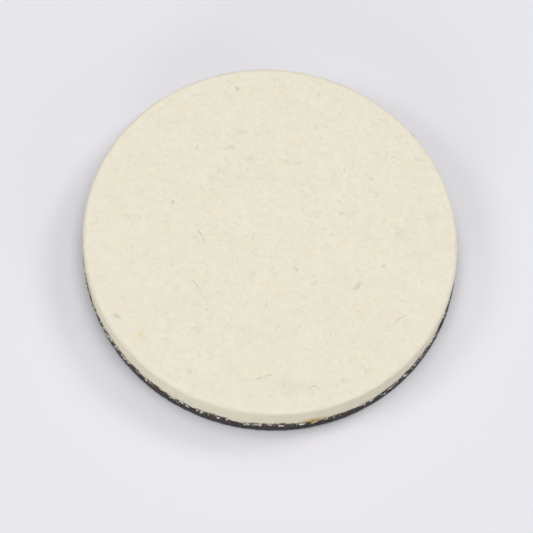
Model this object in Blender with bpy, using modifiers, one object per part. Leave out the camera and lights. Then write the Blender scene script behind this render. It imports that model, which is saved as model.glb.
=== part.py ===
"""Felt polishing pad with a hook-and-loop backing.

Four layers lie flat on each other: the pressed wool felt disc with its working
face up, the contact adhesive, the knitted backing cloth, and under the cloth
its loop pile, which the hooks of a machine's backing plate take hold of.

Units are metres and +Z is up. The origin is the centre of the felt disc's
circle, on the plane that the pad rests on.
"""

import math

import bpy

# Driving dimensions
FELT_RADIUS = 0.0625
FELT_THICKNESS = 0.0113
WORKING_EDGE_ROUND = 0.0013  # where the working face turns into the side
CUT_EDGE_ROUND = 0.0003  # an edge left by the cutting die

ADHESIVE_RADIUS = 0.0621
ADHESIVE_THICKNESS = 0.0003

CLOTH_RADIUS = 0.0623
CLOTH_THICKNESS = 0.0014

PILE_RADIUS = 0.0626  # the loops at the margin lean out a little past the cloth
PILE_THICKNESS = 0.0021

BACKING_OFFSET_X = 0.00045  # the backing is glued on a little off the felt's centre
LAYER_GAP = 0.0003  # clear space between two layers that lie on each other

SEGMENTS = 96  # sides of a turned disc
ARC_STEPS = 4  # straight lines in a quarter-circle edge

# Heights of the layers' lower faces, counted up from the resting plane
CLOTH_BOTTOM = PILE_THICKNESS + LAYER_GAP
ADHESIVE_BOTTOM = CLOTH_BOTTOM + CLOTH_THICKNESS + LAYER_GAP
FELT_BOTTOM = ADHESIVE_BOTTOM + ADHESIVE_THICKNESS + LAYER_GAP

# Colours as linear red, green and blue
WOOL_CREAM = (0.80, 0.75, 0.63)
ADHESIVE_AMBER = (0.66, 0.46, 0.20)
CLOTH_BROWN_BLACK = (0.032, 0.024, 0.020)
PILE_DARK_GREY = (0.038, 0.035, 0.037)


def clear_scene():
    """Remove whatever the open file already holds."""
    for thing in list(bpy.data.objects):
        bpy.data.objects.remove(thing, do_unlink=True)


def new_collection(name):
    """A collection for the pad's layers, linked to the scene."""
    collection = bpy.data.collections.new(name)
    bpy.context.scene.collection.children.link(collection)
    return collection


def principled(name, colour, roughness, sheen=0.0):
    """A plain Principled material. Fabrics have some sheen."""
    material = bpy.data.materials.new(name)
    material.use_nodes = True
    shader = material.node_tree.nodes["Principled BSDF"]
    shader.inputs["Base Color"].default_value = (*colour, 1.0)
    shader.inputs["Roughness"].default_value = roughness
    shader.inputs["Metallic"].default_value = 0.0
    shader.inputs["Sheen Weight"].default_value = sheen
    return material


def quarter_arc(centre_x, centre_z, radius, start, end):
    """Points of an arc in the XZ plane, from start to end, both in degrees."""
    points = []
    for step in range(ARC_STEPS + 1):
        angle = math.radians(start + (end - start) * step / ARC_STEPS)
        x = centre_x + radius * math.cos(angle)
        z = centre_z + radius * math.sin(angle)
        points.append((x, z))
    return points


def disc_profile(radius, thickness, top_round, bottom_round):
    """Half the section of a flat disc: from the middle of the top, out, down and back in."""
    top = quarter_arc(radius - top_round, thickness - top_round, top_round, 90, 0)
    bottom = quarter_arc(radius - bottom_round, bottom_round, bottom_round, 0, -90)
    return [(0.0, thickness), *top, *bottom, (0.0, 0.0)]


def turned_mesh(name, profile):
    """Turn a profile round the Z axis with a Screw modifier and return the closed mesh."""
    outline = bpy.data.meshes.new(name)
    points = [(x, 0.0, z) for x, z in profile]
    outline.from_pydata(points, [(i, i + 1) for i in range(len(points) - 1)], [])
    guide = bpy.data.objects.new(name + "_profile", outline)
    bpy.context.scene.collection.objects.link(guide)
    screw = guide.modifiers.new("turn", "SCREW")
    screw.axis = "Z"
    screw.angle = math.tau
    screw.steps = SEGMENTS
    screw.render_steps = SEGMENTS
    screw.use_merge_vertices = True
    screw.merge_threshold = 0.00001
    screw.use_smooth_shade = True
    depsgraph = bpy.context.evaluated_depsgraph_get()
    mesh = bpy.data.meshes.new_from_object(guide.evaluated_get(depsgraph))
    mesh.name = name
    mesh.shade_smooth()
    mesh.set_sharp_from_angle(angle=math.radians(35))
    bpy.data.objects.remove(guide, do_unlink=True)
    bpy.data.meshes.remove(outline)
    return mesh


def add_layer(collection, name, profile, location, material):
    """One layer of the pad, with its origin at the middle of its lower face."""
    mesh = turned_mesh(name, profile)
    mesh.materials.append(material)
    layer = bpy.data.objects.new(name, mesh)
    layer.location = location
    collection.objects.link(layer)
    return layer


def build_felt_disc(collection):
    """The pressed wool felt: a rounded working edge on top, a die-cut edge below."""
    profile = disc_profile(FELT_RADIUS, FELT_THICKNESS, WORKING_EDGE_ROUND, CUT_EDGE_ROUND)
    wool = principled("wool_felt", WOOL_CREAM, 0.95, sheen=0.3)
    return add_layer(collection, "felt_disc", profile, (0.0, 0.0, FELT_BOTTOM), wool)


def build_adhesive_film(collection):
    """The contact adhesive that bonds the felt to the backing."""
    edge_round = ADHESIVE_THICKNESS / 2.5
    profile = disc_profile(ADHESIVE_RADIUS, ADHESIVE_THICKNESS, edge_round, edge_round)
    glue = principled("contact_adhesive", ADHESIVE_AMBER, 0.4)
    location = (BACKING_OFFSET_X, 0.0, ADHESIVE_BOTTOM)
    return add_layer(collection, "adhesive_film", profile, location, glue)


def build_backing_cloth(collection):
    """The knitted ground cloth, die-cut with the pile on its lower side."""
    profile = disc_profile(CLOTH_RADIUS, CLOTH_THICKNESS, CUT_EDGE_ROUND, CUT_EDGE_ROUND)
    knit = principled("backing_knit", CLOTH_BROWN_BLACK, 0.9, sheen=0.2)
    location = (BACKING_OFFSET_X, 0.0, CLOTH_BOTTOM)
    return add_layer(collection, "backing_cloth", profile, location, knit)


def build_loop_pile(collection):
    """The depth of loops under the cloth, rounded where the outer loops lean out."""
    edge_round = PILE_THICKNESS * 0.4
    profile = disc_profile(PILE_RADIUS, PILE_THICKNESS, edge_round, edge_round)
    loops = principled("loop_pile", PILE_DARK_GREY, 0.85, sheen=0.4)
    location = (BACKING_OFFSET_X, 0.0, 0.0)
    return add_layer(collection, "loop_pile", profile, location, loops)


def main():
    """Build the four layers, from the working face down."""
    clear_scene()
    pad = new_collection("polishing_pad")
    build_felt_disc(pad)
    build_adhesive_film(pad)
    build_backing_cloth(pad)
    build_loop_pile(pad)


main()
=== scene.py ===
"""Looks of the felt polishing pad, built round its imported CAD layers.

Each CAD layer gives the place and size of what stands for it: the felt disc, the
adhesive, the knitted backing cloth and its loop pile. Metres, +Z up, the pad lies
on its loops with the felt up.
"""

import math

import bmesh
import bpy
import numpy as np
from mathutils import Matrix, Vector, noise


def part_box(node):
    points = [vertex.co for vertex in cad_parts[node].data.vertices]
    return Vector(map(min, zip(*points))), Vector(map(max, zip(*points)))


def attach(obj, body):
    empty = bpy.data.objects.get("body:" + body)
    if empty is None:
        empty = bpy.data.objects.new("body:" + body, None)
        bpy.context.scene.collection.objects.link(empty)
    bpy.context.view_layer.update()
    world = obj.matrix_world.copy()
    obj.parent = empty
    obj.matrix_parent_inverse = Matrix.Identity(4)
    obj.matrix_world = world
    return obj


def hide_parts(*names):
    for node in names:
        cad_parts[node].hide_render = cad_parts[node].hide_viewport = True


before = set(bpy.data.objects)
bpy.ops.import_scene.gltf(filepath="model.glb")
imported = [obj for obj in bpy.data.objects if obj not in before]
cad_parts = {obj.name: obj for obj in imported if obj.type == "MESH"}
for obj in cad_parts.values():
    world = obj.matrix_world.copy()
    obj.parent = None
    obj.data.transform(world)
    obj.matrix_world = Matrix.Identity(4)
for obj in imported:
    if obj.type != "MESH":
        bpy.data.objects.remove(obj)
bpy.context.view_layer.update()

MM = 0.001
random = np.random.default_rng(125)

# ----------------------------------------
# Places and sizes, read from the CAD layers
# ----------------------------------------
FELT_LOW, FELT_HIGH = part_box("felt_disc")
GLUE_LOW, GLUE_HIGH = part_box("adhesive_film")
CLOTH_LOW, CLOTH_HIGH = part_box("backing_cloth")
PILE_LOW, PILE_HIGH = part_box("loop_pile")

FELT_RADIUS = (FELT_HIGH.x - FELT_LOW.x) / 2
CLOTH_RADIUS = (CLOTH_HIGH.x - CLOTH_LOW.x) / 2
PILE_RADIUS = (PILE_HIGH.x - PILE_LOW.x) / 2
GLUE_RADIUS = (GLUE_HIGH.x - GLUE_LOW.x) / 2
BACKING_X = (PILE_LOW.x + PILE_HIGH.x) / 2  # the backing is glued on a little off centre

FELT_TOP = FELT_HIGH.z
FELT_BOTTOM = FELT_LOW.z
EDGE_ROUND = 1.3 * MM  # as in the CAD felt
FELT_OVAL = 0.3 * MM  # the cut felt is this much longer one way and shorter the other
FELT_OVAL_HEADING = math.radians(-38.0)


def felt_radius(angle):
    """Radius of the felt's side, which is a little oval."""
    return FELT_RADIUS + FELT_OVAL * np.cos(2 * (angle - FELT_OVAL_HEADING))


# ----------------------------------------
# Mesh helpers
# ----------------------------------------
def new_piece(name, points, faces, materials, slots=None):
    """A smooth-shaded mesh object that rides on the pad's one body."""
    mesh = bpy.data.meshes.new(name)
    mesh.from_pydata(np.asarray(points).tolist(), [], faces)
    mesh.update()
    for material in materials:
        mesh.materials.append(material)
    if slots is not None:
        mesh.polygons.foreach_set("material_index", np.asarray(slots, dtype=np.int32))
    mesh.shade_smooth()
    piece = bpy.data.objects.new(name, mesh)
    bpy.context.scene.collection.objects.link(piece)
    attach(piece, "root")
    return piece


def unit(vectors):
    """The same vectors, each with a length of one."""
    return vectors / np.linalg.norm(vectors, axis=-1, keepdims=True)


def tubes(paths, radii, reference, sides=3):
    """Points and faces of many thin closed tubes, and the number of each face's tube.

    paths is (tubes, points, 3), radii (tubes, points), and reference (tubes, 3) is a
    direction for each tube that its path never runs along.
    """
    count, steps, _ = paths.shape
    along = unit(np.gradient(paths, axis=1))
    across = unit(np.cross(along, reference[:, None, :]))
    other = np.cross(along, across)
    turn = np.arange(sides) * math.tau / sides
    ring = np.cos(turn)[:, None] * across[:, :, None] + np.sin(turn)[:, None] * other[:, :, None]
    points = paths[:, :, None] + ring * radii[:, :, None, None]
    index = np.arange(count * steps * sides).reshape(count, steps, sides)
    beside = np.roll(index, -1, axis=2)
    walls = [index[:, :-1], beside[:, :-1], beside[:, 1:], index[:, 1:]]
    faces = np.stack(walls, axis=-1).reshape(-1, 4).tolist()
    faces += index[:, 0, ::-1].tolist()
    faces += index[:, -1].tolist()
    wall_tube = np.repeat(np.arange(count), (steps - 1) * sides)
    face_tube = np.concatenate([wall_tube, np.arange(count), np.arange(count)])
    return points.reshape(-1, 3), faces, face_tube


def surface_fibres(base, normal, heading, length, lift, bend, steps=5):
    """Centrelines of short fibres that leave a surface, arch over it and come back."""
    along = np.linspace(0.0, 1.0, steps)[None, :, None]
    sideways = np.cross(normal, heading)
    run = heading[:, None] * (length[:, None, None] * along)
    sweep = sideways[:, None] * (bend[:, None, None] * np.sin(along * math.pi * 0.8))
    arch = normal[:, None] * (lift[:, None, None] * np.sin(along * math.pi))
    return base[:, None] + run + sweep + arch


def turned_heading(normal, angle):
    """A unit vector in the surface, turned by angle about the normal."""
    helper = np.where(np.abs(normal[:, 2:]) > 0.7, [1.0, 0.0, 0.0], [0.0, 0.0, 1.0])
    first = unit(np.cross(normal, helper))
    second = np.cross(normal, first)
    return np.cos(angle)[:, None] * first + np.sin(angle)[:, None] * second


def on_circle(radius, angle, height):
    """Points at a radius, an angle and a height, as rows. Each may be one value or many."""
    axes = np.broadcast_arrays(radius * np.cos(angle), radius * np.sin(angle), height)
    return np.stack(axes, axis=-1)


def noise_at(points, size):
    """Smooth noise, about -1 to 1, with features of the given size in metres."""
    return np.array([noise.noise(Vector(point) / size) for point in points])


def ring_solid(rings):
    """Points and faces of a turned solid: a pole, rings of points, and another pole.

    rings is (rings, points, 3), from the middle of the top round to the bottom.
    """
    count, around, _ = rings.shape
    points = np.concatenate([rings.reshape(-1, 3), rings[0].mean(0)[None], rings[-1].mean(0)[None]])
    index = np.arange(count * around).reshape(count, around)
    beside = np.roll(index, -1, axis=1)
    corners = [index[:-1], index[1:], beside[1:], beside[:-1]]
    faces = np.stack(corners, axis=-1).reshape(-1, 4).tolist()
    top, bottom = count * around, count * around + 1
    faces += [[top, a, b] for a, b in zip(index[0], beside[0])]
    faces += [[bottom, b, a] for a, b in zip(index[-1], beside[-1])]
    return points, faces


# ----------------------------------------
# Material helpers
# ----------------------------------------
def new_material(name, roughness, sheen=0.0, specular=0.3):
    """A material with one Principled shader, its node tree and that shader."""
    material = bpy.data.materials.new(name)
    material.use_nodes = True
    shader = material.node_tree.nodes["Principled BSDF"]
    shader.inputs["Roughness"].default_value = roughness
    shader.inputs["Sheen Weight"].default_value = sheen
    shader.inputs["Sheen Roughness"].default_value = 0.6
    shader.inputs["Specular IOR Level"].default_value = specular
    return material, material.node_tree, shader


def add(tree, kind, *feeds, settings=None, **inputs):
    """Add a node. Inputs given by place or by name take a value or another node's socket."""
    made = tree.nodes.new(kind)
    for name, value in (settings or {}).items():
        setattr(made, name, value)
    sockets = [(made.inputs[place], value) for place, value in enumerate(feeds)]
    sockets += [(made.inputs[name.replace("_", " ")], value) for name, value in inputs.items()]
    for socket, value in sockets:
        if isinstance(value, bpy.types.NodeSocket):
            tree.links.new(value, socket)
        else:
            socket.default_value = value
    return made


def maths(tree, operation, *feeds):
    """A Math node's output."""
    return add(tree, "ShaderNodeMath", *feeds, settings={"operation": operation}).outputs[0]


def noise_socket(tree, place, size, detail=2.0, rough=0.5):
    """Noise from 0 to 1 with features of the given size in metres."""
    made = add(tree, "ShaderNodeTexNoise", Vector=place, Scale=1.0 / size, Detail=detail,
               Roughness=rough)
    return made.outputs["Fac"]


def ramp(tree, value, low, high, to_low=0.0, to_high=1.0):
    """value taken smoothly from the range low to high onto the range to_low to to_high."""
    made = add(tree, "ShaderNodeMapRange", value, low, high, to_low, to_high,
               settings={"interpolation_type": "SMOOTHSTEP"})
    return made.outputs["Result"]


def mix_colour(tree, share, first, second):
    """Two colours mixed by share. The Mix node's sockets for colours have no names of their own."""
    share_input, first_input, second_input, colour_output = 0, 6, 7, 2
    made = tree.nodes.new("ShaderNodeMix")
    made.data_type = "RGBA"
    for place, value in ((share_input, share), (first_input, first), (second_input, second)):
        if isinstance(value, bpy.types.NodeSocket):
            tree.links.new(value, made.inputs[place])
        elif place == share_input:
            made.inputs[place].default_value = value
        else:
            made.inputs[place].default_value = (*value, 1.0)
    return made.outputs[colour_output]


def bump(tree, shader, height, distance, strength):
    """Tilt the shader's normal as if the surface stood up by height times distance in metres."""
    made = add(tree, "ShaderNodeBump", Strength=strength, Distance=distance, Height=height)
    tree.links.new(made.outputs["Normal"], shader.inputs["Normal"])


def plain_material(name, colour, roughness, sheen=0.0):
    """One even colour, for a fibre that is too thin to carry a pattern."""
    material, _, shader = new_material(name, roughness, sheen)
    shader.inputs["Base Color"].default_value = (*colour, 1.0)
    return material


def matted(tree, place, length, width):
    """Crossing fibres: noise drawn out along several headings, the highest one winning."""
    headings = (12.0, 58.0, 101.0, 152.0)  # degrees
    layers = []
    for number, heading in enumerate(headings):
        turned = add(tree, "ShaderNodeMapping", Vector=place,
                     Location=(number * 0.37, number * 0.11, number * 0.05),
                     Rotation=(0.0, 0.0, math.radians(heading)),
                     Scale=(1.0 / length, 1.0 / width, 1.0 / width))
        layer = add(tree, "ShaderNodeTexNoise", Vector=turned.outputs["Vector"], Scale=1.0,
                    Detail=1.0, Roughness=0.4, Distortion=0.35)
        layers.append(layer.outputs["Fac"])
    highest = layers[0]
    for layer in layers[1:]:
        highest = maths(tree, "MAXIMUM", highest, layer)
    return highest


# ----------------------------------------
# Marks in the felt, in millimetres from the middle of the working face
# ----------------------------------------
# x, y, length, width, heading in degrees, strength: tufts of blue-grey wool in the cream
BLUE_MARKS = (
    (30.5, -14.0, 4.6, 1.4, 58, 0.66),
    (38.5, -5.5, 1.8, 1.1, 18, 0.60),
    (-34.0, 8.0, 2.0, 1.5, 68, 0.62),
    (-47.5, -35.0, 4.2, 1.7, 12, 0.52),
    (9.5, -10.5, 1.8, 1.4, 0, 0.70),
    (-17.5, 53.0, 2.6, 1.3, 108, 0.56),
    (10.5, 54.0, 2.8, 1.3, 148, 0.34),
    (-14.0, 37.0, 4.0, 2.2, 18, 0.34),
    (-17.0, 31.0, 4.2, 1.2, 3, 0.28),
    (-10.5, 27.0, 4.0, 2.6, 118, 0.22),
    (6.0, 28.0, 2.4, 1.5, 28, 0.28),
    (11.0, 42.5, 3.8, 2.0, 98, 0.24),
    (22.5, 11.5, 2.2, 1.5, 158, 0.56),
    (-4.5, -14.5, 5.0, 3.4, 78, 0.20),
    (45.5, -12.0, 4.8, 2.8, 92, 0.22),
    (39.5, -35.0, 9.0, 6.0, 118, 0.20),
    (12.5, -52.0, 12.0, 6.0, 8, 0.18),
    (-5.0, -37.0, 8.0, 6.0, 68, 0.14),
    (-29.0, -36.0, 6.0, 4.4, 58, 0.15),
    (-21.0, -51.0, 2.2, 1.7, 38, 0.50),
    (-8.0, -50.0, 2.4, 1.6, 88, 0.30),
    (29.0, -47.5, 2.4, 1.7, 18, 0.32),
    (43.0, 7.0, 7.0, 4.4, 138, 0.21),
    (53.0, 14.0, 7.0, 4.0, 78, 0.19),
    (14.0, 10.0, 5.0, 4.0, 28, 0.13),
    (-3.0, 21.0, 6.0, 5.0, 0, 0.12),
    (-20.0, 22.0, 5.0, 4.0, 28, 0.19),
    (-20.0, -36.5, 4.4, 3.4, 0, 0.19),
)
# start x, y, end x, y, sideways bend, darkness from 0 to 1: dark hairs caught in the nap
HAIRS = (
    (-24.5, -1.0, -21.5, -5.5, 0.5, 1.0),
    (-24.0, -19.0, -21.5, -21.5, 0.2, 0.85),
    (-28.0, 30.5, -29.0, 28.0, 0.2, 0.7),
    (-22.5, 14.5, -21.0, 14.0, 0.2, 0.5),
    (1.0, -51.0, 6.0, -48.5, 0.3, 0.6),
    (18.0, -52.0, 22.5, -52.5, 1.6, 0.7),
    (35.0, -42.0, 36.5, -44.5, 0.4, 0.5),
    (44.0, -25.5, 48.0, -22.0, 0.5, 0.65),
    (31.0, 48.5, 34.5, 46.5, 0.2, 0.3),
    (43.0, 44.5, 44.0, 43.0, 0.1, 0.4),
)
AMBER_FLECK = (-38.5, -40.5, 3.4, 2.2, 68)  # x, y, length, width, heading in degrees
STAIN_ANGLE = math.radians(-70.0)  # where amber glue has soaked up into the felt's side


# ----------------------------------------
# Felt
# ----------------------------------------
WOOL_CREAM = (0.83, 0.782, 0.645)
WOOL_HOLLOW_SHADE = (0.72, 0.672, 0.53)  # painted shade of the hollows between clumps, placed by noise
WOOL_COOL = (0.79, 0.79, 0.69)
WOOL_WARM = (0.84, 0.77, 0.60)
WOOL_FIBRE_HIGHLIGHT = (0.90, 0.86, 0.74)  # painted highlight along the fibres that lie on top
WOOL_SIDE_SHADE = (0.76, 0.71, 0.54)  # painted shade on the die-cut side, a little deeper than the face
WOOL_BLUE = (0.44, 0.60, 0.59)
AMBER = (0.64, 0.45, 0.15)
PALE_AMBER = (0.86, 0.68, 0.34)

FACE_FIBRES = 9600  # in each of the two parts of the face
FOLD_FIBRES = 2200
SIDE_FIBRES = 6200
LOWER_EDGE_FIBRES = 2600
FINE_HAIRS = 30  # too faint to be placed one by one


def spot(tree, place, centre, size, heading, strength):
    """A soft oval round centre, from 0 outside to strength inside. size holds its half axes."""
    local = add(tree, "ShaderNodeMapping", Vector=place, Location=centre,
                Rotation=(0.0, 0.0, heading), Scale=size, settings={"vector_type": "TEXTURE"})
    reach = add(tree, "ShaderNodeVectorMath", local.outputs["Vector"],
                settings={"operation": "LENGTH"})
    return ramp(tree, reach.outputs["Value"], 0.15, 1.0, strength, 0.0)


def ragged_place(tree, place, size, reach):
    """The place, pushed about by noise, so that soft ovals come out ragged."""
    wander = add(tree, "ShaderNodeTexNoise", Vector=place, Scale=1.0 / size, Detail=3.0,
                 Roughness=0.65)
    push = add(tree, "ShaderNodeVectorMath", wander.outputs["Color"], (0.5, 0.5, 0.5),
               settings={"operation": "SUBTRACT"})
    scaled = add(tree, "ShaderNodeVectorMath", push.outputs["Vector"],
                 settings={"operation": "SCALE"}, Scale=reach)
    moved = add(tree, "ShaderNodeVectorMath", place, scaled.outputs["Vector"],
                settings={"operation": "ADD"})
    return moved.outputs["Vector"]


def wool_colour(tree, place, fibres):
    """Cream wool, mottled cooler and warmer, with painted shade mottled deeper in its hollows and a painted
    highlight on the fibres on top.
    """
    mottle = noise_socket(tree, place, 2.6 * MM, detail=3.0, rough=0.6)
    broad = noise_socket(tree, place, 14 * MM)
    # painted shade: a deeper mottle standing for the hollows between clumps, at two sizes
    hollow_shade = maths(tree, "MULTIPLY", ramp(tree, mottle, 0.35, 0.72), 0.24)
    hollow_shade = maths(tree, "ADD", hollow_shade, maths(tree, "MULTIPLY", ramp(tree, broad, 0.35, 0.7), 0.12))
    colour = mix_colour(tree, hollow_shade, WOOL_CREAM, WOOL_HOLLOW_SHADE)
    cool = noise_socket(tree, place, 3.4 * MM, detail=4.0, rough=0.65)
    cool_share = maths(tree, "MULTIPLY", ramp(tree, cool, 0.5, 0.75), 0.65)
    colour = mix_colour(tree, cool_share, colour, WOOL_COOL)
    wandering = ragged_place(tree, place, 5 * MM, 4 * MM)
    warm = noise_socket(tree, wandering, 4.2 * MM, detail=4.0, rough=0.65)
    warm_share = maths(tree, "MULTIPLY", ramp(tree, warm, 0.5, 0.75), 0.55)
    colour = mix_colour(tree, warm_share, colour, WOOL_WARM)
    # painted highlight where the fibres stand highest in the bump
    highlight_share = maths(tree, "MULTIPLY", ramp(tree, fibres, 0.48, 0.78), 0.12)
    return mix_colour(tree, highlight_share, colour, WOOL_FIBRE_HIGHLIGHT)


def pressed_layers(tree, place):
    """The thin level layers that show on the die-cut side, as noise from 0 to 1."""
    width, thickness = 2.5 * MM, 0.5 * MM
    layered = add(tree, "ShaderNodeMapping", Vector=place,
                  Scale=(1 / width, 1 / width, 1 / thickness))
    return add(tree, "ShaderNodeTexNoise", Vector=layered.outputs["Vector"], Scale=1.0,
               Detail=3.0, Roughness=0.6).outputs["Fac"]


def with_side_shade(tree, place, colour, layers):
    """The colour with painted shade on the die-cut side: a little deeper below the fold, in layers."""
    height = add(tree, "ShaderNodeSeparateXYZ", place).outputs["Z"]
    below_fold = ramp(tree, height, FELT_TOP - 0.4 * MM, FELT_TOP - 1.6 * MM)
    # painted shade on the side, streaked by the pressed layers
    side_shade = ramp(tree, layers, 0.3, 0.7, 0.25, 0.75)
    return mix_colour(tree, maths(tree, "MULTIPLY", below_fold, side_shade), colour, WOOL_SIDE_SHADE)


def with_blue_tufts(tree, place, colour, fibres):
    """The colour with the blue-grey tufts of BLUE_MARKS, ragged and streaked by the fibres."""
    ragged = ragged_place(tree, place, 1.4 * MM, 2.4 * MM)
    strongest = None
    for x, y, length, width, heading, strength in BLUE_MARKS:
        size = (length * 0.65 * MM, width * 0.65 * MM, 4 * MM)
        mark = spot(tree, ragged, (x * MM, y * MM, FELT_TOP), size, math.radians(heading), strength)
        strongest = mark if strongest is None else maths(tree, "MAXIMUM", strongest, mark)
    streaky = ramp(tree, fibres, 0.42, 0.66, 0.35, 1.0)
    blue_share = maths(tree, "MULTIPLY", maths(tree, "MULTIPLY", strongest, streaky), 0.62)
    return mix_colour(tree, blue_share, colour, WOOL_BLUE)


def with_amber(tree, place, colour):
    """The colour with amber: a fleck on the face, and glue soaked into the side's lower edge."""
    x, y, length, width, heading = AMBER_FLECK
    fleck = spot(tree, ragged_place(tree, place, 0.8 * MM, 0.6 * MM), (x * MM, y * MM, FELT_TOP),
                 (length / 2 * MM, width / 2 * MM, 2 * MM), math.radians(heading), 0.7)
    colour = mix_colour(tree, fleck, colour, PALE_AMBER)
    stain_centre = on_circle(felt_radius(STAIN_ANGLE), STAIN_ANGLE, FELT_BOTTOM + 1.0 * MM).tolist()
    stain = spot(tree, ragged_place(tree, place, 1.3 * MM, 2.0 * MM), stain_centre,
                 (6.2 * MM, 2.8 * MM, 4.0 * MM), STAIN_ANGLE + math.pi / 2, 1.0)
    return mix_colour(tree, stain, colour, AMBER)


def felt_material():
    """Pressed wool: cream, matted, mottled, with blue-grey tufts and one amber stain; its colour also holds
    painted shade and a painted highlight.
    """
    material, tree, shader = new_material("wool_felt", 0.95, sheen=0.12, specular=0.15)
    place = add(tree, "ShaderNodeTexCoord").outputs["Object"]
    fibres = matted(tree, place, 1.7 * MM, 0.22 * MM)
    fine = noise_socket(tree, place, 0.35 * MM, detail=3.0, rough=0.6)
    layers = pressed_layers(tree, place)

    colour = wool_colour(tree, place, fibres)
    # painted shade on the die-cut side below the fold
    colour = with_side_shade(tree, place, colour, layers)
    colour = with_blue_tufts(tree, place, colour, fibres)
    colour = with_amber(tree, place, colour)
    tree.links.new(colour, shader.inputs["Base Color"])

    surface = maths(tree, "ADD", maths(tree, "MULTIPLY", fibres, 0.6), maths(tree, "MULTIPLY", fine, 0.5))
    surface = maths(tree, "ADD", surface, maths(tree, "MULTIPLY", layers, 0.25))
    bump(tree, shader, surface, 0.12 * MM, 0.5)
    return material


LATTICE_CELLS = 232  # across the working face; its rim then has four times as many points


def disc_lattice(cells):
    """Points of a unit disc on a bent square lattice, its quads, and its rim in order."""
    steps = np.linspace(-1.0, 1.0, cells + 1)
    u, v = np.meshgrid(steps, steps)
    wide = np.abs(u) >= np.abs(v)
    reach = np.where(wide, u, v)
    small = np.where(wide, v, u)
    safe = np.where(reach == 0.0, 1.0, reach)
    swing = math.pi / 4 * small / safe
    angle = np.where(wide, swing, math.pi / 2 - swing)
    points = np.stack([reach * np.cos(angle), reach * np.sin(angle)], axis=-1).reshape(-1, 2)
    index = np.arange((cells + 1) ** 2).reshape(cells + 1, cells + 1)
    corners = [index[:-1, :-1], index[:-1, 1:], index[1:, 1:], index[1:, :-1]]
    quads = np.stack(corners, axis=-1).reshape(-1, 4)
    rim = np.concatenate([index[0, :-1], index[:-1, -1], index[-1, :0:-1], index[:0:-1, 0]])
    return points, quads, rim


def felt_profile():
    """(radius, height, tilt of the normal) down the felt's edge, from the face to underneath."""
    stations = []
    fold_steps = 8
    for step in range(1, fold_steps + 1):
        tilt = math.pi / 2 * (1 - step / fold_steps)
        radius = FELT_RADIUS - EDGE_ROUND + EDGE_ROUND * math.cos(tilt)
        height = FELT_TOP - EDGE_ROUND + EDGE_ROUND * math.sin(tilt)
        stations.append((radius, height, tilt))
    lower_round = 0.3 * MM  # as in the CAD felt
    side_steps = 24
    for step in range(1, side_steps + 1):
        share = step / side_steps
        height = FELT_TOP - EDGE_ROUND + (FELT_BOTTOM + lower_round - FELT_TOP + EDGE_ROUND) * share
        stations.append((FELT_RADIUS, height, 0.0))
    for tilt in (-math.pi / 4, -math.pi / 2):
        radius = FELT_RADIUS - lower_round + lower_round * math.cos(tilt)
        height = FELT_BOTTOM + lower_round + lower_round * math.sin(tilt)
        stations.append((radius, height, tilt))
    underside_shares = (0.97, 0.8, 0.4, 0.05)
    for share in underside_shares:
        stations.append((FELT_RADIUS * share, FELT_BOTTOM, -math.pi / 2))
    return stations


def felt_relief(points, tilts):
    """How far the felt stands off its plain form: broad waves, matted clumps and a rough side."""
    on_side = np.clip(np.cos(tilts), 0.0, 1.0)
    waves = noise_at(points, 24 * MM) * 0.07 * MM
    clumps = noise_at(points, 5 * MM) * 0.035 * MM
    grain = noise_at(points, 1.3 * MM) * (0.018 + 0.05 * on_side) * MM
    layers = noise_at(points * [0.25, 0.25, 1.0], 0.9 * MM) * 0.045 * MM * on_side
    return waves + clumps + grain + layers


def felt_normals(angle, tilt):
    """The felt's normals at each angle. tilt is how far a normal rises from level."""
    return on_circle(np.cos(tilt), angle, np.sin(tilt))


def build_felt(material):
    """The felt disc: one closed skin, with its relief in the mesh."""
    flat, quads, rim = disc_lattice(LATTICE_CELLS)
    flat_angle = np.arctan2(flat[:, 1], flat[:, 0])
    face_radius = felt_radius(flat_angle) - EDGE_ROUND
    face = np.column_stack([flat * face_radius[:, None], np.full(len(flat), FELT_TOP)])
    rim_angle = flat_angle[rim]
    oval = felt_radius(rim_angle) - FELT_RADIUS

    points, tilts = [face], [np.full(len(face), math.pi / 2)]
    rings = [rim]
    total = len(face)
    for radius, height, tilt in felt_profile():
        points.append(on_circle(radius + oval, rim_angle, height))
        tilts.append(np.full(len(rim), tilt))
        rings.append(np.arange(total, total + len(rim)))
        total += len(rim)
    points = np.concatenate(points)
    tilts = np.concatenate(tilts)

    angle = np.arctan2(points[:, 1], points[:, 0])
    underneath = tilts < -1.5  # the glued underside stays flat
    relief = np.where(underneath, 0.0, felt_relief(points, tilts))
    points = points + felt_normals(angle, tilts) * relief[:, None]

    faces = quads.tolist()
    for upper, lower in zip(rings[:-1], rings[1:]):
        ahead_upper, ahead_lower = np.roll(upper, -1), np.roll(lower, -1)
        faces += np.stack([upper, lower, ahead_lower, ahead_upper], axis=-1).tolist()
    centre = len(points)
    points = np.vstack([points, [[0.0, 0.0, FELT_BOTTOM]]])
    faces += [[centre, b, a] for a, b in zip(rings[-1].tolist(), np.roll(rings[-1], -1).tolist())]
    felt = new_piece("felt_body", points, faces, [material])
    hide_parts("felt_disc")


def relief_on(paths, normal, tilt):
    """Paths moved with the felt's own relief, so that what lies on it follows the surface."""
    flat = paths.reshape(-1, 3)
    tilts = np.repeat(tilt, paths.shape[1])
    return paths + normal[:, None] * felt_relief(flat, tilts).reshape(len(paths), -1, 1)


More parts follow.
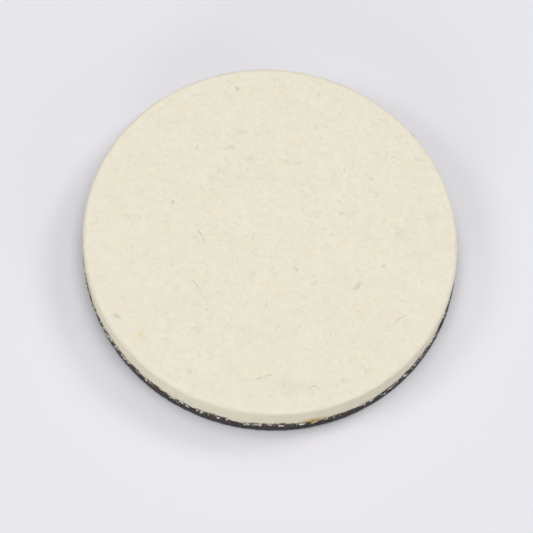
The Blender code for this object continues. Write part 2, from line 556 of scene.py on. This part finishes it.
def lay_fibres(name, angle, tilt, base, length, lift, bend, shades, shares, way=None):
    """One mesh of short wool fibres lying on the felt.

    tilt is how far the surface's normal rises from level, and way the fibres' heading in
    the surface, any way where it isn't given. length and lift are ranges in millimetres,
    and bend is a share of the length.
    """
    count = len(angle)
    normal = felt_normals(angle, tilt)
    way = random.uniform(0, math.tau, count) if way is None else way
    heading = turned_heading(normal, way)
    size = random.uniform(*length, count) * MM
    paths = surface_fibres(base - heading * size[:, None] / 2, normal, heading, size,
                           random.uniform(*lift, count) * MM, random.normal(0, bend, count) * size,
                           steps=4)
    paths = relief_on(paths, normal, tilt)
    thickness = random.uniform(0.011, 0.019, count) * MM
    radii = thickness[:, None] * np.array([0.6, 1.0, 1.0, 0.5])
    points, faces, tube = tubes(paths, radii, normal)
    shade_of = random.choice(len(shades), count, p=shares)
    nap = new_piece(name, points, faces, shades, shade_of[tube])


def build_nap():
    """Loose wool fibres on the face, over the fold, down the side and hanging at its lower edge."""
    shades = [
        plain_material("wool_fibre_white", (0.90, 0.87, 0.79), 0.7, sheen=0.1),
        plain_material("wool_fibre_cream", (0.84, 0.79, 0.665), 0.7, sheen=0.1),
        plain_material("wool_fibre_straw", (0.78, 0.715, 0.565), 0.7, sheen=0.1),
    ]
    shares = [0.38, 0.49, 0.13]
    level = math.pi / 2
    for name, inner, outer in (("nap_centre", 0.0, 0.72), ("nap_outer", 0.72, 1.0)):
        count = FACE_FIBRES
        angle = random.uniform(0, math.tau, count)
        share = np.sqrt(random.uniform(inner ** 2, outer ** 2, count))
        base = on_circle((felt_radius(angle) - EDGE_ROUND) * share, angle, FELT_TOP)
        lay_fibres(name, angle, np.full(count, level), base, (0.7, 2.8), (0.0, 0.07), 0.12,
                   shades, shares)

    count = FOLD_FIBRES
    angle, tilt = random.uniform(0, math.tau, count), random.uniform(0.05, 1.5, count)
    radius = felt_radius(angle) - EDGE_ROUND * (1 - np.cos(tilt))
    base = on_circle(radius, angle, FELT_TOP - EDGE_ROUND * (1 - np.sin(tilt)))
    lay_fibres("nap_fold", angle, tilt, base, (0.4, 1.0), (0.02, 0.10), 0.12, shades, shares)

    count = SIDE_FIBRES
    angle = random.uniform(0, math.tau, count)
    height = random.uniform(FELT_BOTTOM + 0.4 * MM, FELT_TOP - EDGE_ROUND, count)
    base = on_circle(felt_radius(angle), angle, height)
    lay_fibres("nap_side", angle, np.zeros(count), base, (0.4, 1.5), (0.02, 0.13), 0.15,
               shades, shares, way=random.choice([0.0, math.pi], count) + random.normal(0, 0.7, count))

    count = LOWER_EDGE_FIBRES
    angle = random.uniform(0, math.tau, count)
    height = FELT_BOTTOM + (mean_climb(angle).clip(0.2, None) + random.exponential(0.5, count)) * MM
    base = on_circle(felt_radius(angle), angle, height)
    lay_fibres("nap_lower_edge", angle, np.zeros(count), base, (0.35, 1.0), (0.08, 0.30), 0.2,
               shades, [0.6, 0.34, 0.06], way=random.normal(-math.pi / 2, 0.6, count))


def build_coloured_wool():
    """Thin blue-grey fibres that lie in each tuft on the face."""
    paths = []
    for x, y, length, width, heading, strength in BLUE_MARKS:
        count = max(2, int(8 * strength * math.sqrt(length)))
        share = random.uniform(-0.5, 0.5, (count, 2))
        turn = math.radians(heading)
        along = np.array([math.cos(turn), math.sin(turn)])
        across = np.array([-math.sin(turn), math.cos(turn)])
        place = np.array([x, y]) + share[:, :1] * along * length * 0.6
        place = place + share[:, 1:] * across * width * 0.8
        base = np.column_stack([place * MM, np.full(count, FELT_TOP + 0.01 * MM)])
        way = turn + random.normal(0, 0.6, count)
        headings = on_circle(1.0, way, 0.0)
        normal = np.tile([0.0, 0.0, 1.0], (count, 1))
        size = random.uniform(0.3, 0.65, count) * min(length, 4.5) * MM
        lift = random.uniform(0.0, 0.05, count) * MM
        bend = random.normal(0, 0.2, count) * MM
        laid = surface_fibres(base - headings * size[:, None] / 2, normal, headings, size, lift, bend)
        paths.append(relief_on(laid, normal, np.full(count, math.pi / 2)))
    paths = np.concatenate(paths)
    radii = np.tile(np.array([0.6, 1.0, 1.0, 1.0, 0.5]) * 0.017 * MM, (len(paths), 1))
    reference = np.tile([0.0, 0.0, 1.0], (len(paths), 1))
    points, faces, tube = tubes(paths, radii, reference)
    shades = [
        plain_material("wool_fibre_blue", (0.33, 0.51, 0.58), 0.7, sheen=0.1),
        plain_material("wool_fibre_grey", (0.48, 0.58, 0.55), 0.7, sheen=0.1),
    ]
    shade_of = random.choice(2, len(paths), p=[0.5, 0.5])
    piece = new_piece("coloured_wool", points, faces, shades, shade_of[tube])


def hair_path(start, end, bend, steps):
    """A hair on the face from start to end, bowed sideways by bend, all three in millimetres."""
    along = np.linspace(0.0, 1.0, steps)
    run = np.array(end) - np.array(start)
    sideways = np.array([-run[1], run[0]]) / np.linalg.norm(run)
    flat = np.array(start) + along[:, None] * run + np.sin(along * math.pi)[:, None] * sideways * bend
    lift = 0.03 + 0.05 * np.sin(along * 7.0 + start[0])
    return np.column_stack([flat, FELT_TOP / MM + lift]) * MM


def build_hairs():
    """Dark hairs and a few fine ones caught in the nap of the face."""
    steps = 9
    taper = np.interp(np.linspace(0, 1, steps), [0, 0.2, 0.8, 1], [0.5, 1, 1, 0.4])
    paths, radii, shade_of = [], [], []
    for x0, y0, x1, y1, bend, darkness in HAIRS:
        paths.append(hair_path((x0, y0), (x1, y1), bend, steps))
        radii.append((0.018 + 0.026 * darkness) * MM * taper)
        shade_of.append(0 if darkness > 0.55 else 1)
    for _ in range(FINE_HAIRS):
        distance = (FELT_RADIUS / MM - 3) * math.sqrt(random.uniform())
        place, way = random.uniform(0, math.tau, 2)
        start = distance * np.array([math.cos(place), math.sin(place)])
        end = start + random.uniform(0.8, 2.4) * np.array([math.cos(way), math.sin(way)])
        paths.append(hair_path(start, end, random.normal(0, 0.3), steps))
        radii.append(0.016 * MM * taper)
        shade_of.append(1)
    paths, radii = np.array(paths), np.array(radii)
    normal = np.tile([0.0, 0.0, 1.0], (len(paths), 1))
    paths = relief_on(paths, normal, np.full(len(paths), math.pi / 2))
    points, faces, tube = tubes(paths, radii, normal, sides=5)
    shades = [
        plain_material("hair_brown", (0.15, 0.095, 0.03), 0.5),
        plain_material("hair_fine", (0.34, 0.26, 0.12), 0.5),
    ]
    piece = new_piece("stray_hairs", points, faces, shades, np.array(shade_of)[tube])


# ----------------------------------------
# Glue
# ----------------------------------------
GLUE_WHITE = (0.86, 0.83, 0.76)
GLUE_DULL = (0.66, 0.62, 0.52)
CRUMB_CLUSTERS = 230
# The larger bits squeezed out: angle in degrees, then in millimetres the height above the
# resting plane, the width along the edge and how tall the bit is
GLUE_BLOBS = (
    (-83.5, 5.9, 0.5, 0.9), (-80.0, 5.2, 2.0, 1.1), (-73.8, 5.0, 2.0, 0.9), (-63.7, 4.5, 0.8, 0.9),
    (-53.4, 4.2, 0.8, 0.9), (-96.5, 5.7, 0.7, 0.9), (-91.5, 6.0, 0.8, 0.7), (-87.5, 5.6, 0.5, 1.1),
    (-115.5, 6.6, 0.9, 0.9), (-113.8, 6.0, 0.6, 1.3), (-111.5, 6.2, 0.6, 1.1), (-124.0, 6.2, 0.6, 1.3),
    (-131.0, 6.6, 0.5, 1.2), (-38.0, 4.5, 0.6, 1.2), (-30.5, 4.6, 0.5, 1.2), (-147.0, 7.0, 0.5, 1.0),
    (22.0, 5.0, 0.8, 0.8), (64.0, 5.2, 1.4, 0.8), (101.0, 4.8, 0.7, 1.0), (148.0, 5.4, 1.1, 0.8),
)


def glue_material():
    """Dried contact adhesive: milky, with amber where it pooled."""
    material, tree, shader = new_material("contact_adhesive", 0.45, specular=0.45)
    place = add(tree, "ShaderNodeTexCoord").outputs["Object"]
    pool = noise_socket(tree, place, 6 * MM)
    fine = noise_socket(tree, place, 0.5 * MM, detail=3.0)
    centre = on_circle(felt_radius(STAIN_ANGLE), STAIN_ANGLE, FELT_BOTTOM).tolist()
    near_stain = spot(tree, place, centre, (3.6 * MM, 3.6 * MM, 3.6 * MM), 0.0, 1.0)
    share = maths(tree, "MAXIMUM", ramp(tree, pool, 0.66, 0.8, 0.0, 0.35), near_stain)
    colour = mix_colour(tree, share, GLUE_WHITE, AMBER)
    colour = mix_colour(tree, maths(tree, "MULTIPLY", fine, 0.25), colour, GLUE_DULL)
    tree.links.new(colour, shader.inputs["Base Color"])
    bump(tree, shader, fine, 0.08 * MM, 0.6)
    return material


def build_glue_film(material):
    """The bond between cloth and felt, its rim squeezed out unevenly."""
    around = 720
    angle = np.arange(around) * math.tau / around
    low, high = CLOTH_HIGH.z - 0.05 * MM, FELT_BOTTOM + 0.05 * MM
    squeeze = noise_at(on_circle(GLUE_RADIUS, angle, 0.0), 3.2 * MM)
    rim = GLUE_RADIUS - 0.1 * MM + np.clip(squeeze, -0.6, 1.0) * 0.35 * MM
    inner_shares = (0.05, 0.97)
    rings = [on_circle(GLUE_RADIUS * share, angle, high) for share in inner_shares]
    half = (high - low) / 2
    rim_steps = 6
    for step in range(rim_steps + 1):
        tilt = math.pi / 2 - math.pi * step / rim_steps
        level = (high + low) / 2 + half * math.sin(tilt)
        rings.append(on_circle(rim - half + half * math.cos(tilt), angle, level))
    rings += [on_circle(GLUE_RADIUS * share, angle, low) for share in reversed(inner_shares)]
    rings = np.array(rings) + [BACKING_X, 0.0, 0.0]
    points, faces = ring_solid(rings)
    film = new_piece("glue_film", points, faces, [material])
    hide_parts("adhesive_film")


def mean_climb(angle):
    """Millimetres that the cloth's margin climbs over the felt: most on the left, towards the near side."""
    return 0.45 + 0.65 * np.cos(angle - math.radians(-155.0))


def blob(size, seed):
    """An uneven crumb: a small sphere pushed about by noise."""
    ball = bmesh.new()
    bmesh.ops.create_icosphere(ball, subdivisions=2, radius=1.0)
    points = np.array([vertex.co[:] for vertex in ball.verts])
    faces = [[vertex.index for vertex in face.verts] for face in ball.faces]
    ball.free()
    swell = 1.0 + 0.9 * noise_at(points + seed * 3.1, 0.8) + 0.6 * noise_at(points + seed * 1.7, 0.4)
    return points * swell[:, None] * size, faces


def build_glue_beads(material):
    """Crumbs of glue along the joint: the larger bits, then clusters of small ones."""
    angle = [math.radians(blob_angle) for blob_angle, _, _, _ in GLUE_BLOBS]
    height = [level * MM for _, level, _, _ in GLUE_BLOBS]
    size = [(0.22 * MM, width / 2 * MM, tall / 2 * MM) for _, _, width, tall in GLUE_BLOBS]
    clusters_at_stain = 3
    centres = [STAIN_ANGLE] * clusters_at_stain
    centres += random.uniform(0, math.tau, CRUMB_CLUSTERS).tolist()
    for centre in centres:
        level = FELT_BOTTOM + (mean_climb(centre) + random.normal(-0.2, 0.7)) * MM
        for _ in range(random.integers(1, 6)):
            angle.append(centre + random.normal(0, 0.009))
            height.append(level + random.normal(0, 0.35) * MM)
            width = min(random.lognormal(-1.9, 0.45), 0.32) * MM
            size.append((width, width * random.uniform(0.6, 1.6), width * random.uniform(0.8, 1.8)))
    points, faces, total = [], [], 0
    for number, (turn, level, shape) in enumerate(zip(angle, height, size)):
        own, own_faces = blob(np.array(shape), number)
        place = on_circle(felt_radius(turn) + 0.24 * MM, turn, level)
        points.append(own @ np.array(Matrix.Rotation(turn, 3, "Z")).T + place)
        faces += [[corner + total for corner in face] for face in own_faces]
        total += len(own)
    beads = new_piece("glue_beads", np.concatenate(points), faces, [material])


# ----------------------------------------
# Backing cloth
# ----------------------------------------
CLOTH_BROWN = (0.045, 0.031, 0.024)
CLOTH_BLACK = (0.018, 0.014, 0.013)
FRAY_YARNS = 4300


def cloth_material():
    """Knitted ground cloth, brown-black, with its ribs as a fine bump."""
    material, tree, shader = new_material("backing_knit", 0.85, sheen=0.1, specular=0.25)
    place = add(tree, "ShaderNodeTexCoord").outputs["Object"]
    ribs = add(tree, "ShaderNodeTexWave", Vector=place, Scale=1 / (math.tau * 0.16 * MM),
               Distortion=1.2, Detail=2.0, settings={"bands_direction": "X"}).outputs["Fac"]
    fuzz = noise_socket(tree, place, 0.5 * MM, detail=4.0, rough=0.65)
    colour = mix_colour(tree, ramp(tree, fuzz, 0.35, 0.7), CLOTH_BLACK, CLOTH_BROWN)
    tree.links.new(colour, shader.inputs["Base Color"])
    height = maths(tree, "ADD", maths(tree, "MULTIPLY", ribs, 0.5), fuzz)
    bump(tree, shader, height, 0.2 * MM, 0.8)
    return material


def build_cloth(material):
    """The ground cloth, die-cut, its margin drawn up over the glue line."""
    around = 900
    angle = np.arange(around) * math.tau / around
    low, high = CLOTH_LOW.z - 0.15 * MM, CLOTH_HIGH.z
    here = on_circle(CLOTH_RADIUS, angle, 0.0)
    crest = FELT_BOTTOM - 0.2 * MM + mean_climb(angle) * 0.6 * MM
    crest += noise_at(here, 1.6 * MM) * 0.6 * MM
    inner_shares = (0.05, 0.95)
    rings = [on_circle(CLOTH_RADIUS * share, angle, high) for share in inner_shares]
    margin = CLOTH_RADIUS - 0.35 * MM
    rings.append(on_circle(margin, angle, high))
    rings.append(on_circle(margin, angle, crest))
    wall = felt_radius(angle) + 0.05 * MM - BACKING_X * np.cos(angle)
    wall_steps = 9
    for step in range(wall_steps + 1):
        share = step / wall_steps
        level = crest + (low - crest) * share
        place = on_circle(CLOTH_RADIUS, angle, level)
        bulge = noise_at(place, 0.8 * MM) * 0.07 * MM + 0.16 * MM * math.sin(share * math.pi)
        rings.append(on_circle(wall + bulge, angle, level))
    rings += [on_circle(CLOTH_RADIUS * share, angle, low) for share in reversed(inner_shares)]
    rings = np.array(rings) + [BACKING_X, 0.0, 0.0]
    points, faces = ring_solid(rings)
    cloth = new_piece("cloth_body", points, faces, [material])
    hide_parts("backing_cloth")


def fray_crest(angle):
    """Metres that the ragged margin climbs over the felt's lower edge, or falls short of it."""
    here = on_circle(FELT_RADIUS, angle, 3 * MM)
    ragged = mean_climb(angle) + 0.9 * noise_at(here, 7 * MM) + 2.0 * noise_at(here, 2.2 * MM)
    ragged += 2.2 * noise_at(here, 0.9 * MM)
    return ragged.clip(-1.2, 2.4) * MM


def build_fray():
    """Cut yarn along the cloth's edge, stuck up against the felt by the glue."""
    count = FRAY_YARNS
    angle = np.sort(random.uniform(0, math.tau, count))
    foot = random.uniform(CLOTH_LOW.z, CLOTH_HIGH.z, count)
    stray = np.where(random.uniform(0, 1, count) < 0.1, random.uniform(0.2, 0.6, count), 0.0)
    top = FELT_BOTTOM + fray_crest(angle) + (random.normal(0, 0.15, count) + stray) * MM
    steps = 5
    along = np.linspace(0, 1, steps)
    level = foot[:, None] + (top - foot)[:, None] * along
    lean = random.normal(0, 0.85, count) * MM / FELT_RADIUS
    swing = angle[:, None] + lean[:, None] * along ** 1.5
    bulge = random.uniform(0.0, 0.22, count)[:, None] * MM * np.sin(along * math.pi)
    cloth_side = CLOTH_RADIUS + 0.1 * MM + BACKING_X * np.cos(angle)
    felt_side = felt_radius(angle) + 0.09 * MM
    radius = cloth_side[:, None] + (felt_side - cloth_side)[:, None] * along + bulge
    paths = on_circle(radius, swing, level)
    thickness = random.uniform(0.07, 0.13, count) * MM
    radii = thickness[:, None] * np.array([1.0, 1.1, 1.1, 0.9, 0.35])
    reference = on_circle(1.0, angle, 0.0)
    points, faces, tube = tubes(paths, radii, reference, sides=4)
    shades = [
        plain_material("yarn_brown", (0.058, 0.037, 0.028), 0.7, sheen=0.1),
        plain_material("yarn_black", (0.018, 0.014, 0.013), 0.7, sheen=0.1),
        plain_material("yarn_rust", (0.125, 0.080, 0.058), 0.7, sheen=0.1),
    ]
    shade_of = random.choice(3, count, p=[0.5, 0.32, 0.18])
    fray = new_piece("cloth_fray", points, faces, shades, shade_of[tube])


# ----------------------------------------
# Loop pile
# ----------------------------------------
PILE_GREY = (0.050, 0.048, 0.050)
PILE_DEEP = (0.020, 0.019, 0.020)
PILE_FUZZ = (0.075, 0.072, 0.076)
EDGE_LOOPS = 5400


def pile_material():
    """The dense foot of the pile, seen between the loops."""
    material, tree, shader = new_material("pile_foot", 0.9, sheen=0.2, specular=0.2)
    place = add(tree, "ShaderNodeTexCoord").outputs["Object"]
    cells = add(tree, "ShaderNodeTexVoronoi", Vector=place, Scale=1 / (0.5 * MM)).outputs["Distance"]
    fuzz = noise_socket(tree, place, 0.3 * MM, detail=4.0, rough=0.7)
    colour = mix_colour(tree, ramp(tree, cells, 0.1, 0.7), PILE_GREY, PILE_DEEP)
    colour = mix_colour(tree, maths(tree, "MULTIPLY", fuzz, 0.4), colour, PILE_FUZZ)
    tree.links.new(colour, shader.inputs["Base Color"])
    bump(tree, shader, maths(tree, "ADD", cells, fuzz), 0.25 * MM, 0.8)
    return material


def margin_reach(angle):
    """Radius that the loops at the margin lean out to, a little further on the near right."""
    return PILE_RADIUS + (0.05 + 0.3 * np.cos(angle - math.radians(-30.0))) * MM


def build_pile_body(material):
    """The pile's dense foot: a thin uneven disc that the loops stand down from, and its margin."""
    around = 720
    angle = np.arange(around) * math.tau / around
    top, foot, margin_foot = PILE_HIGH.z + 0.3 * MM, 0.75 * MM, 0.12 * MM
    top_shares = (0.04, 0.2, 0.4, 0.6, 0.8, 0.93)
    rings = [on_circle(PILE_RADIUS * share, angle, top) for share in top_shares]
    half = (top - margin_foot) / 2
    margin_steps = 12
    for step in range(margin_steps + 1):
        tilt = math.pi / 2 - math.pi * step / margin_steps
        level = (top + margin_foot) / 2 + half * math.sin(tilt)
        place = on_circle(PILE_RADIUS, angle, level)
        round_in = 0.35 * MM * (1 - math.cos(tilt)) ** 2
        out = margin_reach(angle) - 0.2 * MM - round_in + noise_at(place, 0.9 * MM) * 0.09 * MM
        rings.append(on_circle(out, angle, level))
    underside_rings = 60
    for share in reversed(np.linspace(0.02, 0.98, underside_rings)):
        radius = PILE_RADIUS * share
        uneven = noise_at(on_circle(radius, angle, foot), 1.2 * MM) * 0.2 * MM
        rings.append(on_circle(radius, angle, foot + uneven))
    rings = np.array(rings) + [BACKING_X, 0.0, 0.0]
    points, faces = ring_solid(rings)
    piece = new_piece("pile_body", points, faces, [material])
    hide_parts("loop_pile")


def scattered(inner, outer, area_each):
    """Jittered places in a ring, one for each area_each, as radius and angle."""
    pitch = math.sqrt(area_each)
    radii, angles = [], []
    for row in range(int((outer - inner) / pitch)):
        radius = inner + (row + 0.5) * pitch
        around = max(3, int(math.tau * radius / pitch))
        angle = (np.arange(around) + random.uniform(-0.45, 0.45, around)) * math.tau / around
        radii.append(radius + random.uniform(-0.45, 0.45, around) * pitch)
        angles.append(angle + random.uniform(0, math.tau))
    return np.concatenate(radii), np.concatenate(angles)


def build_loops(name, inner, outer, area_each, shades, outward=0.0):
    """Nylon loops: each leaves the cloth, curls over near the resting plane and goes back."""
    radius, angle = scattered(inner, outer, area_each)
    count = len(radius)
    centre = on_circle(radius, angle, 0.0)
    way = random.uniform(0, math.tau, count)
    plane = on_circle(1.0, way, 0.0)
    lean_way = random.uniform(0, math.tau, count)
    lean = on_circle(1.0, lean_way, 0.0) + outward * on_circle(1.0, angle, 0.0)
    half_width = random.uniform(0.28, 0.6, count) * MM
    depth = random.uniform(0.75, 1.0, count)
    root, rest = 1.5 * MM, 0.08 * MM
    steps = 6
    turn = np.linspace(-0.35, math.pi + 0.5, steps)
    run = plane[:, None] * (half_width[:, None] * np.cos(turn))[..., None]
    drop = np.sin(turn).clip(-0.2, None)
    level = root - (root - rest) * depth[:, None] * drop
    drift = lean[:, None] * (0.35 * MM * np.clip(drop, 0, None))[None, :, None]
    paths = centre[:, None] + run + drift
    paths[..., 2] = level.clip(rest, None)
    paths[..., 0] += BACKING_X
    thickness = random.uniform(0.055, 0.080, count) * MM
    radii = np.repeat(thickness[:, None], steps, axis=1)
    reference = np.cross(plane, [0.0, 0.0, 1.0])
    points, faces, tube = tubes(paths, radii, reference)
    shade_of = random.choice(len(shades), count)
    loops = new_piece(name, points, faces, shades, shade_of[tube])


def build_edge_loops(shades):
    """Small loops at the cut margin, seen from the side as a dense dark band."""
    count = EDGE_LOOPS
    angle = random.uniform(0, math.tau, count)
    out = on_circle(1.0, angle, 0.0)
    sideways = np.column_stack([-np.sin(angle), np.cos(angle), np.zeros(count)])
    level = random.uniform(0.15, 2.6, count) * MM
    steps = 6
    turn = np.linspace(-0.3, math.pi + 0.3, steps)
    half_width = random.uniform(0.12, 0.32, count) * MM
    tilt = random.normal(0, 0.7, count)
    across = sideways * np.cos(tilt)[:, None] + np.array([0, 0, 1.0]) * np.sin(tilt)[:, None]
    run = across[:, None] * (half_width[:, None] * np.cos(turn))[..., None]
    round_in = 0.12 * MM * ((level - 1.3 * MM) / (1.2 * MM)) ** 2
    foot = margin_reach(angle) - 0.25 * MM - round_in
    reach = random.uniform(0.15, 0.34, count) * MM
    push = out[:, None] * (reach[:, None] * np.sin(turn))[..., None]
    centre = on_circle(foot, angle, level)
    paths = centre[:, None] + run + push
    paths[..., 2] = paths[..., 2].clip(0.08 * MM, None)
    paths[..., 0] += BACKING_X
    radii = np.repeat(random.uniform(0.045, 0.070, count)[:, None] * MM, steps, axis=1)
    reference = np.cross(across, out)
    points, faces, tube = tubes(paths, radii, reference)
    shade_of = random.choice(3, count, p=[0.45, 0.4, 0.15])
    loops = new_piece("loops_edge", points, faces, shades, shade_of[tube])


def build_pile_loops():
    """The loops, in three rings and the cut margin, so that no one mesh grows too heavy."""
    shades = [
        plain_material("loop_grey", (0.058, 0.056, 0.058), 0.55, sheen=0.2),
        plain_material("loop_dark", (0.032, 0.030, 0.031), 0.55, sheen=0.2),
        plain_material("loop_light", (0.095, 0.092, 0.096), 0.55, sheen=0.2),
    ]
    ground_each, margin_ground_each = 0.92 * MM * MM, 0.60 * MM * MM
    build_loops("loops_inner", 0.2 * MM, 38 * MM, ground_each, shades)
    build_loops("loops_middle", 38 * MM, 54 * MM, ground_each, shades)
    build_loops("loops_margin", 54 * MM, PILE_RADIUS - 0.3 * MM, margin_ground_each, shades, outward=0.4)
    build_edge_loops(shades)


# ----------------------------------------
# Floor, lights and camera
# ----------------------------------------
CAMERA_FIELD = math.radians(12.0)
CAMERA_DISTANCE = 0.8595
CAMERA_ELEVATION = 67.3  # degrees
CAMERA_ROLL = math.radians(7.0)
CAMERA_TARGET = Vector((-0.0002, -0.0043, 0.0))

# azimuth and elevation in degrees, size in metres, power in watts
LIGHTS = {
    "overhead": (0.0, 88.0, 0.9, 8.5),
    "key": (125.0, 46.0, 0.5, 5.5),
    "back": (190.0, 48.0, 0.55, 1.6),
    "left": (285.0, 44.0, 0.55, 4.6),
    "front": (345.0, 16.0, 0.55, 5.6),
    "right": (60.0, 24.0, 0.55, 2.6),
}
LIGHT_DISTANCE = 1.5
WORLD_LIGHT = 0.2  # strength of the even sky
FLOOR_PALE = (0.80, 0.79, 0.83)


def direction(azimuth, elevation):
    """A unit vector from the pad, from degrees; azimuth 0 is towards -Y and 90 towards +X."""
    swing, rise = math.radians(azimuth), math.radians(elevation)
    level = math.cos(rise)
    return Vector((math.sin(swing) * level, -math.cos(swing) * level, math.sin(rise)))


def build_lights():
    """Large soft panels all round, and a faint even sky."""
    for name, (azimuth, elevation, size, power) in LIGHTS.items():
        lamp = bpy.data.lights.new(name, "AREA")
        lamp.size = size
        lamp.energy = power
        panel = bpy.data.objects.new(name, lamp)
        bpy.context.scene.collection.objects.link(panel)
        away = direction(azimuth, elevation)
        panel.location = away * LIGHT_DISTANCE
        panel.rotation_mode = "QUATERNION"
        panel.rotation_quaternion = away.to_track_quat("Z", "Y")
    world = bpy.data.worlds.new("studio")
    bpy.context.scene.world = world
    world.use_nodes = True
    background = world.node_tree.nodes["Background"]
    background.inputs["Color"].default_value = (1.0, 1.0, 1.0, 1.0)
    background.inputs["Strength"].default_value = WORLD_LIGHT


def build_floor():
    """A plain pale table top."""
    bpy.ops.mesh.primitive_plane_add(size=6.0, location=(0.0, 0.0, 0.0))
    floor = bpy.context.object
    floor.name = "floor"
    material, _, shader = new_material("pale_floor", 0.7, specular=0.2)
    shader.inputs["Base Color"].default_value = (*FLOOR_PALE, 1.0)
    floor.data.materials.append(material)


def build_camera():
    """A long lens above the near side, turned a little, as the pad was pictured."""
    lens = bpy.data.cameras.new("camera")
    lens.sensor_width = 36.0
    lens.lens = lens.sensor_width / 2 / math.tan(CAMERA_FIELD / 2)
    lens.clip_start = 0.05
    camera = bpy.data.objects.new("camera", lens)
    bpy.context.scene.collection.objects.link(camera)
    camera.location = direction(0.0, CAMERA_ELEVATION) * CAMERA_DISTANCE
    away = (camera.location - CAMERA_TARGET).normalized()
    level = away.to_track_quat("Z", "Y").to_matrix()
    camera.rotation_mode = "QUATERNION"
    camera.rotation_quaternion = (level @ Matrix.Rotation(CAMERA_ROLL, 3, "Z")).to_quaternion()
    bpy.context.scene.camera = camera


def main():
    """Build the camera, the room and the pad."""
    bpy.context.scene.view_settings.view_transform = "Standard"
    build_camera()
    build_floor()
    build_lights()
    build_felt(felt_material())
    build_nap()
    build_coloured_wool()
    build_hairs()
    glue = glue_material()
    build_glue_film(glue)
    build_glue_beads(glue)
    build_cloth(cloth_material())
    build_fray()
    build_pile_body(pile_material())
    build_pile_loops()


main()
